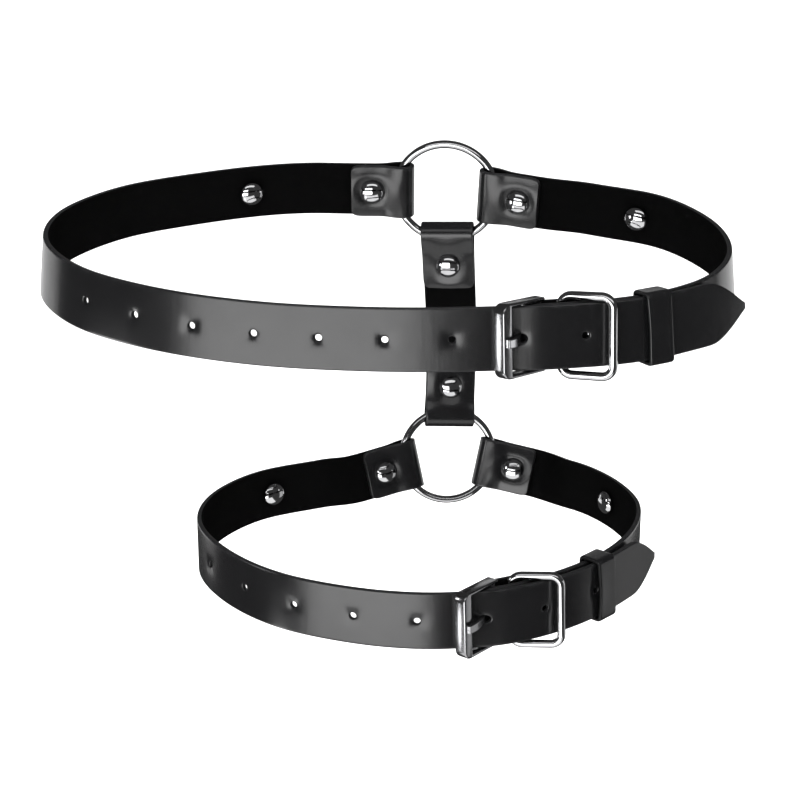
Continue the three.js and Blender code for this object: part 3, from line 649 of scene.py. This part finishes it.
def punch_hole(bm, block, centre, length, width):
    """Cuts a round or oval hole in a block of cells."""
    for grow in (HOLE_SUPPORT, 1):
        bmesh.ops.inset_region(bm, faces=block, thickness=HOLE_INSET, use_even_offset=True)
        corners = {vert for face in block for vert in face.verts}
        edge = [vert for vert in corners if (vert.co - centre).length > MERGE_DISTANCE]
        for vert in edge:
            angle = math.atan2(vert.co.y, vert.co.x - centre.x)
            vert.co.x = centre.x + math.cos(angle) * length * grow * HOLE_RING
            vert.co.y = math.sin(angle) * width * grow * HOLE_RING
    bmesh.ops.delete(bm, geom=block, context="FACES")


def thicken(bm, thickness):
    """Gives a flat sheet its two faces and its edges, which become materials 0, 1 and 2."""
    made = bmesh.ops.extrude_face_region(bm, geom=bm.faces[:], use_keep_orig=True)
    for vert in only(made["geom"], BMVert):
        vert.co.z = thickness
    bmesh.ops.translate(bm, verts=bm.verts, vec=(0, 0, -thickness / 2))
    bmesh.ops.recalc_face_normals(bm, faces=bm.faces)
    bm.normal_update()
    for face in bm.faces:
        face.material_index = 0 if face.normal.z > 0.5 else 1 if face.normal.z < -0.5 else 2


def lay_out(bm):
    """Keeps the flat leather's own measures, along and across it, in metres, as its UV map."""
    layer = bm.loops.layers.uv.new("leather")
    for face in bm.faces:
        for loop in face.loops:
            loop[layer].uv = loop.vert.co.xy * MM


def bend(bm, rows, distances):
    """Carries a flat strip onto the rows of its place in the harness."""
    last = len(rows) - 1
    outs = []
    for index, row in enumerate(rows):
        along = rows[min(index + 1, last)].centre - rows[max(index - 1, 0)].centre
        outs.append(along.cross(row.across).normalized())
    for vert in bm.verts:
        index = min(max(bisect_right(distances, vert.co.x) - 1, 0), last - 1)
        gap = distances[index + 1] - distances[index]
        share = min(1, max(0, (vert.co.x - distances[index]) / gap))
        across = rows[index].across.lerp(rows[index + 1].across, share).normalized()
        out = outs[index].lerp(outs[index + 1], share).normalized()
        centre = rows[index].centre.lerp(rows[index + 1].centre, share)
        vert.co = centre + across * vert.co.y + out * vert.co.z


def nearest(vert, spots, otherwise):
    return min(((vert.co.xy - spot).length for spot in spots), default=otherwise)


def press_relief(bm, leather, distances, face_side):
    """Dishes the good face at its small holes and swells it round the rivets of the folds."""
    small = [index for index, length, _ in leather.holes if length < RIVET_HOLE_RADIUS]
    dishes = [Vector((distances[index], 0)) for index in small]
    rivets = [Vector((distances[index], 0)) for index in leather.pillows]
    for vert in bm.verts:
        if vert.co.z * face_side < 0 or abs(vert.co.y) > RELIEF_HALF_WIDTH:
            continue
        near = nearest(vert, dishes, DISH_REACH)
        vert.co.z -= face_side * DISH_DEPTH * (1 - ease(near, 0, DISH_REACH))
        near = nearest(vert, rivets, PILLOW_REACH)
        rise = ease(near, PILLOW_START, PILLOW_CREST) * (1 - ease(near, PILLOW_CREST, PILLOW_REACH))
        vert.co.z += face_side * PILLOW_HEIGHT * rise


def strap_mesh(leather, face_side):
    """A strap, cut and punched flat and then bent. face_side is 1 or -1, where its good face is."""
    distances = distances_along(leather.rows)
    bm = flat_grid(distances, STRAP_COLUMNS, STRAP_WIDTH / 2, [row.share for row in leather.rows])
    for index, length, width in leather.holes:
        block = cells_between(bm, distances[index - 1], distances[index + 1])
        punch_hole(bm, block, Vector((distances[index], 0, 0)), length, width)
    if leather.slot:
        low, high = (distances[index] for index in leather.slot)
        block = cells_between(bm, low, high)
        bmesh.ops.inset_region(bm, faces=block, thickness=SLOT_INSET, use_even_offset=True)
        bmesh.ops.delete(bm, geom=block, context="FACES")
    thicken(bm, STRAP_THICKNESS)
    lay_out(bm)
    press_relief(bm, leather, distances, face_side)
    bend(bm, leather.rows, distances)
    if face_side < 0:
        for face in bm.faces:
            face.material_index = (1, 0, 2)[face.material_index]
    return bm


def narrow_strip(rows, width, thickness):
    """A flat bar or band, ready to be bent, with the distances of its rows."""
    distances = distances_along(rows)
    bm = flat_grid(distances, NARROW_COLUMNS, width / 2, [row.share for row in rows])
    thicken(bm, thickness)
    return bm, distances


def close_up(bm):
    bmesh.ops.remove_doubles(bm, verts=bm.verts, dist=MERGE_DISTANCE)
    bmesh.ops.recalc_face_normals(bm, faces=bm.faces)


def spin_round(bm, steps):
    """Turns all of a profile once round the Z axis and closes it."""
    geom = bm.verts[:] + bm.edges[:]
    bmesh.ops.spin(bm, geom=geom, cent=(0, 0, 0), axis=(0, 0, 1), dvec=(0, 0, 0),
                   angle=2 * math.pi, steps=steps, use_merge=True)
    close_up(bm)


def profile(bm, points):
    """A line of edges in the XZ plane."""
    verts = [bm.verts.new((x, 0, z)) for x, z in points]
    for start, end in zip(verts, verts[1:]):
        bm.edges.new((start, end))


def cap_profile(seat):
    """A domed cap from its post's root over its rolled lip to its crown."""
    points = [(RIVET_POST_RADIUS, 0), (RIVET_POST_RADIUS, seat)]
    points.append((RIVET_CAP_RADIUS - RIVET_LIP, seat))
    points.append((RIVET_CAP_RADIUS - RIVET_LIP_CORNER[0], seat + RIVET_LIP_CORNER[1]))
    points.append((RIVET_CAP_RADIUS, seat + RIVET_LIP))
    for step in range(RIVET_DOME_STEPS + 1):
        angle = math.radians(90 * step / RIVET_DOME_STEPS)
        height = RIVET_RIM + (RIVET_CAP_HEIGHT - RIVET_RIM) * math.sin(angle)
        points.append((RIVET_CAP_RADIUS * math.cos(angle), seat + height))
    return points


def flat_profile(seat):
    points = [(RIVET_POST_RADIUS, 0), (RIVET_POST_RADIUS, seat)]
    return points + [(radius, seat + height) for radius, height in FLAT_RIVET_HEAD]


def rivet_mesh(points):
    """A rivet, from the profile of one half of it."""
    bm = bmesh.new()
    profile(bm, points)
    bmesh.ops.mirror(bm, geom=bm.verts[:] + bm.edges[:], axis="Z", merge_dist=MERGE_DISTANCE)
    spin_round(bm, RIVET_TURNS)
    return bm


def ring_mesh():
    bm = bmesh.new()
    place = Matrix.Translation(((RING_OUTER_DIAMETER - RING_WIRE) / 2, 0, 0)) @ UPRIGHT
    bmesh.ops.create_circle(bm, segments=WIRE_SIDES, radius=RING_WIRE / 2, matrix=place)
    spin_round(bm, RING_SEGMENTS)
    return bm


def wire_rectangle(half_length, half_height, corner, wire_radius):
    """A round wire bent to a rectangle in the XY plane: four straights and four spun corners."""
    bm = bmesh.new()
    place = Matrix.Translation((half_length, corner - half_height, 0)) @ UPRIGHT
    made = bmesh.ops.create_circle(bm, segments=WIRE_SIDES, radius=wire_radius, matrix=place)
    end = made["verts"]
    straight = (half_height - corner) * 2, (half_length - corner) * 2
    for quarter in range(4):
        direction = Matrix.Rotation(quarter * math.pi / 2, 3, "Z")
        edges = [edge for edge in bm.edges if all(vert in end for vert in edge.verts)]
        drawn = bmesh.ops.extrude_edge_only(bm, edges=edges)["geom"]
        end = only(drawn, BMVert)
        bmesh.ops.translate(bm, verts=end, vec=direction @ Vector((0, straight[quarter % 2], 0)))
        middle = sum((vert.co for vert in end), Vector()) / len(end)
        centre = middle + direction @ Vector((-corner, 0, 0))
        spun = bmesh.ops.spin(bm, geom=end + only(drawn, BMEdge), cent=centre, axis=(0, 0, 1),
                              dvec=(0, 0, 0), angle=math.pi / 2, steps=CORNER_TURNS)
        end = only(spun["geom_last"], BMVert)
    close_up(bm)
    return bm


def arc(centre, radius, low, high, turns):
    """Points on part of a circle, between two angles in degrees."""
    x, y = centre
    angles = [math.radians(mix(low, high, index / turns)) for index in range(turns + 1)]
    return [(x + radius * math.cos(angle), y + radius * math.sin(angle)) for angle in angles]


def frame_outline():
    """The edge of the buckle's open frame, from the heel ends of its arms."""
    outer, inner = BUCKLE_OUTER_HEIGHT / 2, BUCKLE_INNER_HEIGHT / 2
    far = BUCKLE_LENGTH + FREE_BAR_WIDTH / 2
    near = far - FREE_BAR_WIDTH
    corner = far - BUCKLE_CORNER
    outline = [(near, inner), (near, -inner), (-BUCKLE_HEEL_END, -inner), (-BUCKLE_HEEL_END, -outer)]
    outline += arc((corner, BUCKLE_CORNER - outer), BUCKLE_CORNER, -90, 0, CORNER_TURNS)
    outline += arc((corner, outer - BUCKLE_CORNER), BUCKLE_CORNER, 0, 90, CORNER_TURNS)
    return outline + [(-BUCKLE_HEEL_END, outer), (-BUCKLE_HEEL_END, inner)]


def buckle_frame_mesh():
    """The open frame, cut from plate with its edges rounded, and the bar between its arms."""
    bm = bmesh.new()
    plate = bm.faces.new([bm.verts.new((x, y, -BUCKLE_PLATE / 2)) for x, y in frame_outline()])
    drawn = bmesh.ops.extrude_face_region(bm, geom=[plate], use_keep_orig=True)["geom"]
    bmesh.ops.translate(bm, verts=only(drawn, BMVert), vec=(0, 0, BUCKLE_PLATE))
    bmesh.ops.recalc_face_normals(bm, faces=bm.faces)
    sharp = [edge for edge in bm.edges if edge.calc_face_angle(0) > math.radians(SHARP_ANGLE)]
    bmesh.ops.bevel(bm, geom=sharp, offset=BUCKLE_ROUNDING, segments=ROUNDING_STEPS, profile=0.5,
                    affect="EDGES", material=-1)
    bmesh.ops.create_cone(bm, cap_ends=True, segments=BAR_SIDES, radius1=BAR_RADIUS,
                          radius2=BAR_RADIUS, depth=BUCKLE_INNER_HEIGHT + 2 * BAR_INTO_ARMS,
                          matrix=UPRIGHT)
    return bm


def prong_path(hole):
    """The prong's line in the buckle's XZ plane, round the heel bar and through its hole."""
    entry = hole + PRONG_ENTRY
    leave = math.degrees(math.atan2(entry.y, entry.x) + math.acos(PRONG_CURL / entry.length))
    curl = arc((0, 0), PRONG_CURL, PRONG_CURL_START, leave - 360, PRONG_CURL_STEPS)
    return curl + [
        Vector(curl[-1]).lerp(entry, PRONG_SUPPORT),
        entry,
        hole + PRONG_EXIT,
        (PRONG_SHOULDER, PRONG_REST),
        (mix(PRONG_SHOULDER, PRONG_TIP, PRONG_SUPPORT), PRONG_REST),
        (PRONG_TIP - PRONG_END_STEP, PRONG_REST),
        (PRONG_TIP, PRONG_REST),
    ]


def prong_mesh(line, buckle):
    """A bar of metal curled round the heel bar, whose tongue goes through its hole to the free bar."""
    reach = line.loop.heel - line.loop.prong_hole
    point = buckle.inverted() @ line.at(reach, climb(reach, line.loop.heel)).point
    path = prong_path(Vector((point.x, point.z)))
    rows = [Row(Vector((x, 0, z)), Vector((0, -1, 0)), 1) for x, z in path]
    bm, distances = narrow_strip(rows, PRONG_WIDTH, PRONG_THICKNESS)
    bend(bm, rows, distances)
    for face in bm.faces:
        face.material_index = 0
    return bm


def keeper_outline(depth, height):
    """The band's line round both straps, by distance out of them and up across them."""
    corner, steps = KEEPER_CORNER, KEEPER_CORNER_STEPS
    side = depth - KEEPER_SIDE_ROW
    outline = [(-depth, -KEEPER_END_GAP)]
    outline += arc((corner - depth, corner - height), corner, 180, 270, steps)
    outline += [(side, -height)]
    outline += arc((depth - corner, corner - height), corner, 270, 360, steps)
    outline += [(depth, height * share) for share in KEEPER_FACE_ROWS]
    outline += arc((depth - corner, height - corner), corner, 0, 90, steps)
    outline += [(side, height)]
    outline += arc((corner - depth, height - corner), corner, 90, 180, steps)
    return outline + [(-depth, KEEPER_END_GAP)]


def leather_keeper_mesh(line):
    """A band of leather round both straps, one edge lifted a little. Its ends meet behind them."""
    inner = -STRAP_THICKNESS / 2 - GAP
    outer = OVERLAP_OFFSET + STRAP_THICKNESS / 2 + GAP
    place = line.at(line.loop.heel + line.loop.keeper, (outer + inner) / 2)
    depth = (outer - inner) / 2 + KEEPER_SLACK + KEEPER_THICKNESS / 2
    height = STRAP_WIDTH / 2 + GAP + KEEPER_THICKNESS / 2
    outline = keeper_outline(depth, height)
    centres = [place.point + place.out * out + place.across * up for out, up in outline]
    rows = [Row(centre, -place.along, 1) for centre in centres]
    bm, distances = narrow_strip(rows, KEEPER_LENGTH, KEEPER_THICKNESS)
    lay_out(bm)
    middle = distances[-1] / 2
    for vert in bm.verts:
        at_edge = ease(vert.co.y, 0, KEEPER_LENGTH / 2)
        vert.co.z += KEEPER_LIFT * at_edge * (1 - ease(abs(vert.co.x - middle), 0, height))
    bend(bm, rows, distances)
    return bm


class Value:
    """A socket's value. Each sum on it adds a Math node."""

    def __init__(self, finish, socket):
        self.finish = finish
        self.socket = socket

    def sum(self, operation, *values):
        return self.finish.node("ShaderNodeMath", {"operation": operation}, dict(enumerate(values)))

    def __add__(self, other):
        return self.sum("ADD", self, other)

    def __mul__(self, other):
        return self.sum("MULTIPLY", self, other)

    def __truediv__(self, other):
        return self.sum("DIVIDE", self, other)

    def __abs__(self):
        return self.sum("ABSOLUTE", self)

    __radd__ = __add__
    __rmul__ = __mul__

    def eased(self, low, high):
        """0 below low and 1 above high, smoothly."""
        settings = {"interpolation_type": "SMOOTHSTEP"}
        sockets = {"Value": self, "From Min": low, "From Max": high}
        return self.finish.node("ShaderNodeMapRange", settings, sockets)


class Finish:
    """A material, built round its shader."""

    def __init__(self, name, **constants):
        self.material = bpy.data.materials.new(name)
        self.material.use_nodes = True
        self.tree = self.material.node_tree
        self.shader = self.tree.nodes["Principled BSDF"]
        for socket, value in constants.items():
            self.shader.inputs[socket.replace("_", " ")].default_value = value

    def node(self, kind, settings=None, sockets=None, out=0):
        made = self.tree.nodes.new(kind)
        for setting, value in (settings or {}).items():
            setattr(made, setting, value)
        for socket, value in (sockets or {}).items():
            self.give(made.inputs[socket], value)
        return Value(self, made.outputs[out])

    def give(self, socket, value):
        if isinstance(value, Value):
            self.tree.links.new(value.socket, socket)
        else:
            socket.default_value = value

    def set(self, socket, value):
        self.give(self.shader.inputs[socket], value)

    def object_point(self):
        return self.node("ShaderNodeTexCoord", out=3)

    def leather_point(self):
        return self.node("ShaderNodeUVMap", {"uv_map": "leather"})

    def stretched(self, point, x, y, z=1):
        return self.node("ShaderNodeMapping", {}, {"Vector": point, "Scale": (x, y, z)})

    def noise(self, point, scale, detail=2, roughness=0.5):
        sockets = {"Vector": point, "Scale": scale, "Detail": detail, "Roughness": roughness}
        return self.node("ShaderNodeTexNoise", {}, sockets)

    def blend(self, share, low, high):
        settings = {"data_type": "RGBA"}
        return self.node("ShaderNodeMix", settings, {0: share, 6: (*low, 1), 7: (*high, 1)}, out=2)

    def bump(self, height, distance, strength=1, under=None):
        sockets = {"Height": height, "Distance": distance, "Strength": strength}
        if under:
            sockets["Normal"] = under
        return self.node("ShaderNodeBump", {}, sockets)


def leather_face():
    """Black coated leather: fine grain, creases across the strap, worn a little at its edges."""
    finish = Finish("leather_face", Specular_IOR_Level=0.5)
    point = finish.leather_point()
    across = abs(finish.node("ShaderNodeSeparateXYZ", {}, {0: point}, out=1)) / (STRAP_WIDTH / 2 * MM)
    worn = across.eased(0.86, 0.98) * finish.noise(point, 300, detail=3).eased(0.3, 0.7)
    cloudy = finish.noise(point, 90, detail=3)
    finish.set("Base Color", finish.blend(worn, LEATHER_BLACK, LEATHER_WORN))
    finish.set("Roughness", 0.17 + cloudy * 0.1)
    creases = finish.noise(finish.stretched(point, x=320, y=26), 1, detail=4, roughness=0.6)
    soft = finish.noise(finish.stretched(point, x=70, y=45), 1)
    grain = finish.noise(point, 1400, detail=3, roughness=0.6)
    base = finish.bump(soft, 0.0006, strength=0.12)
    folds = finish.bump(creases, 0.00012, strength=0.22, under=base)
    finish.set("Normal", finish.bump(grain, 0.00003, strength=0.1, under=folds))
    return finish.material


def leather_back():
    """The strap's flesh side: matt and nearly black."""
    finish = Finish("leather_back", Specular_IOR_Level=0.02)
    point = finish.leather_point()
    nap = finish.noise(point, 1500, detail=4, roughness=0.7)
    finish.set("Base Color", finish.blend(nap, FLESH_DARK, FLESH_LIGHT))
    finish.set("Roughness", 0.75 + finish.noise(point, 120) * 0.2)
    finish.set("Normal", finish.bump(nap, 0.00008, strength=0.6))
    return finish.material


def leather_edge():
    """The strap's painted edge."""
    finish = Finish("leather_edge", Specular_IOR_Level=0.15)
    fibres = finish.noise(finish.object_point(), 1200, detail=3)
    finish.set("Base Color", finish.blend(fibres, EDGE_DARK, EDGE_LIGHT))
    finish.set("Roughness", 0.55 + fibres * 0.2)
    finish.set("Normal", finish.bump(fibres, 0.00006, strength=0.5))
    return finish.material


def plated_metal(name, dark, light, roughness):
    """Polished plate with a little haze and fine scratches."""
    finish = Finish(name, Metallic=1)
    point = finish.object_point()
    haze = finish.noise(point, 260, detail=3)
    scratches = finish.noise(finish.stretched(point, x=900, y=900, z=120), 1)
    finish.set("Base Color", finish.blend(haze, dark, light))
    finish.set("Roughness", roughness + haze * 0.07 + scratches.eased(0.55, 0.75) * 0.06)
    finish.set("Normal", finish.bump(scratches, 0.00001, strength=0.15))
    return finish.material


def add_object(name, bm, finishes):
    """Makes a mesh an object with smooth faces."""
    for face in bm.faces:
        face.smooth = True
    mesh = bpy.data.meshes.new(name)
    bm.to_mesh(mesh)
    bm.free()
    for finish in finishes:
        mesh.materials.append(finish)
    made = bpy.data.objects.new(name, mesh)
    bpy.context.scene.collection.objects.link(made)
    return made


def add_piece(node, slot, bm, group, place=None, levels=0):
    """Makes a finished mesh the piece that stands for a CAD node."""
    if place is not None:
        bm.transform(place)
    bm.transform(Matrix.Scale(MM, 4) @ group)
    piece = add_object(f"{node}_made", bm, FINISHES[slot])
    if levels:
        rounding = piece.modifiers.new("rounding", "SUBSURF")
        rounding.levels = rounding.render_levels = levels
    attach(piece, "root")
    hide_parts(node)


FINISHES = {
    "leather": [leather_face(), leather_back(), leather_edge()],
    "nickel": [plated_metal("nickel", NICKEL_DARK, NICKEL_LIGHT, roughness=0.05)],
    "gunmetal": [plated_metal("gunmetal", GUNMETAL_DARK, GUNMETAL_LIGHT, roughness=0.16)],
}


def buckle_matrix(line):
    """The buckle's own frame: X from the heel bar to the free bar, Y down the bars, Z outwards."""
    heel = line.at(line.loop.heel, HEEL_LIFT - HEEL_FOLD_RADIUS)
    tilt = math.radians(line.loop.buckle_tilt)
    to_free_bar = heel.along * -math.cos(tilt) + heel.out * math.sin(tilt)
    return Place(heel.point, to_free_bar, -heel.across).matrix()


def wire_keeper(line):
    """The wire keeper's mesh and its place, from the buckle strap's fold out over both straps."""
    loop, wire = line.loop, KEEPER_WIRE / 2
    inner = lift(WIRE_KEEPER_REACH) - HEEL_FOLD_RADIUS
    outer = OVERLAP_OFFSET + STRAP_THICKNESS / 2 + WIRE_KEEPER_STAND_OFF + wire
    start = line.at(loop.heel + WIRE_KEEPER_REACH, inner)
    end = line.at(loop.heel + WIRE_KEEPER_REACH + WIRE_KEEPER_SPAN, outer)
    span = end.point - start.point
    middle = Place(start.point.lerp(end.point, 0.5), span, start.across)
    shape = wire_rectangle(span.length / 2, WIRE_KEEPER_HALF_HEIGHT, WIRE_KEEPER_CORNER, wire)
    return shape, middle.shifted(0, -WIRE_KEEPER_DROP, 0).matrix()


def add_buckle(line, add):
    buckle = buckle_matrix(line)
    add("buckle_frame", "gunmetal", buckle_frame_mesh(), buckle)
    add("buckle_prong", "gunmetal", prong_mesh(line, buckle), buckle, SMOOTH_LEVELS)
    add("wire_keeper", "nickel", *wire_keeper(line))
    add("leather_keeper", "leather", leather_keeper_mesh(line), levels=SMOOTH_LEVELS)


def add_rivets(line, left, right, add):
    reach = line.loop.side_rivet
    rivets = {
        "tab_rivet_left": (left(TAB_RIVET_REACH, 0), TWO_LAYER_SEAT),
        "tab_rivet_right": (right(TAB_RIVET_REACH, 0), TWO_LAYER_SEAT),
        "side_rivet_left": (line.at(reach), ONE_LAYER_SEAT),
        "side_rivet_right": (line.at(-reach), ONE_LAYER_SEAT),
    }
    for node, (place, seat) in rivets.items():
        add(node, "nickel", rivet_mesh(cap_profile(seat)), place.matrix())
    between = lift(FOLD_RIVET_REACH) - (STRAP_THICKNESS + GAP) / 2
    fold = line.at(line.loop.heel + FOLD_RIVET_REACH, between)
    add("fold_rivet", "nickel", rivet_mesh(flat_profile(TWO_LAYER_SEAT)), fold.matrix())


def build_loop(loop):
    """Makes a loop's pieces. Returns its ring's place in the harness."""
    line = LoopLine(loop)
    group = Matrix.Translation(loop.position) @ Matrix.Rotation(math.radians(loop.pitch), 4, "X")
    ring = line.at(0).shifted(0, loop.ring_rise, 0)
    left = ring_tab(ring, loop.left_turn, loop.left_bend)
    right = ring_tab(ring, 180 + loop.right_turn, loop.right_bend)

    def add(node, slot, bm, place=None, levels=0):
        add_piece(f"{loop.name}_{node}", slot, bm, group, place, levels)

    add("long_strap", "leather", strap_mesh(long_strap(line, left), 1), levels=SMOOTH_LEVELS)
    add("buckle_strap", "leather", strap_mesh(buckle_strap(line, right), -1), levels=SMOOTH_LEVELS)
    add("ring", "nickel", ring_mesh(), ring.matrix())
    add_buckle(line, add)
    add_rivets(line, left, right, add)
    return ring.inside(group)


def build_connector(upper, lower):
    still = Matrix.Identity(4)
    top, bottom = connector_tabs(upper, lower)
    strap = strap_mesh(connector(top, bottom), 1)
    add_piece("connector_strap", "leather", strap, still, levels=SMOOTH_LEVELS)
    for name, tab in (("top", top), ("bottom", bottom)):
        rivet = rivet_mesh(cap_profile(TWO_LAYER_SEAT))
        place = tab(CONNECTOR_RIVET_REACH, 0).matrix()
        add_piece(f"connector_rivet_{name}", "nickel", rivet, still, place)


def build_stage():
    """A pale floor whose edge rises all round, so that it is behind the harness from every side."""
    bm = bmesh.new()
    bmesh.ops.create_circle(bm, cap_ends=True, segments=FLOOR_SIDES, radius=FLOOR_RADIUS)
    rim = [edge for edge in bm.edges if edge.is_boundary]
    for reach, rise in FLOOR_RIM:
        drawn = bmesh.ops.extrude_edge_only(bm, edges=rim)["geom"]
        rim = only(drawn, BMEdge)
        for vert in only(drawn, BMVert):
            vert.co += vert.co.xy.normalized().to_3d() * reach + Vector((0, 0, rise))
    bmesh.ops.translate(bm, verts=bm.verts, vec=(0, 0, FLOOR_HEIGHT))
    finish = Finish("floor_paper", Specular_IOR_Level=0.0)
    finish.set("Base Color", FLOOR_PAPER)
    finish.set("Roughness", 0.9)
    floor = add_object("floor", bm, [finish.material])
    floor.visible_glossy = False


def add_softbox(box, shine=True):
    turn, rise = math.radians(box.turn), math.radians(box.rise)
    level = Vector((math.sin(turn), -math.cos(turn), 0))
    away = level * math.cos(rise) + Vector((0, 0, math.sin(rise)))
    data = bpy.data.lights.new(box.name, "AREA")
    data.shape = "RECTANGLE"
    data.size, data.size_y = box.width, box.height
    data.energy = box.brightness * math.pi * box.width * box.height
    lamp = bpy.data.objects.new(box.name, data)
    lamp.location = SUBJECT + away * box.distance
    lamp.rotation_euler = away.to_track_quat("Z", "Y").to_euler()
    lamp.visible_glossy = shine
    lamp.visible_camera = False
    bpy.context.scene.collection.objects.link(lamp)


def build_lights():
    for box in SOFTBOXES:
        add_softbox(box)
    add_softbox(TOP_LIGHT, shine=False)
    world = bpy.data.worlds.new("studio")
    world.use_nodes = True
    world.node_tree.nodes["Background"].inputs["Color"].default_value = ROOM_COLOUR
    bpy.context.scene.world = world
    bpy.context.scene.view_settings.view_transform = "Standard"


def build_camera():
    data = bpy.data.cameras.new("camera")
    data.lens = CAMERA_LENS
    camera = bpy.data.objects.new("camera", data)
    camera.location = CAMERA_PLACE
    camera.rotation_euler = (math.radians(90 - CAMERA_PITCH), 0, 0)
    bpy.context.scene.collection.objects.link(camera)
    bpy.context.scene.camera = camera


build_camera()
build_lights()
build_stage()
build_connector(build_loop(UPPER_LOOP), build_loop(LOWER_LOOP))
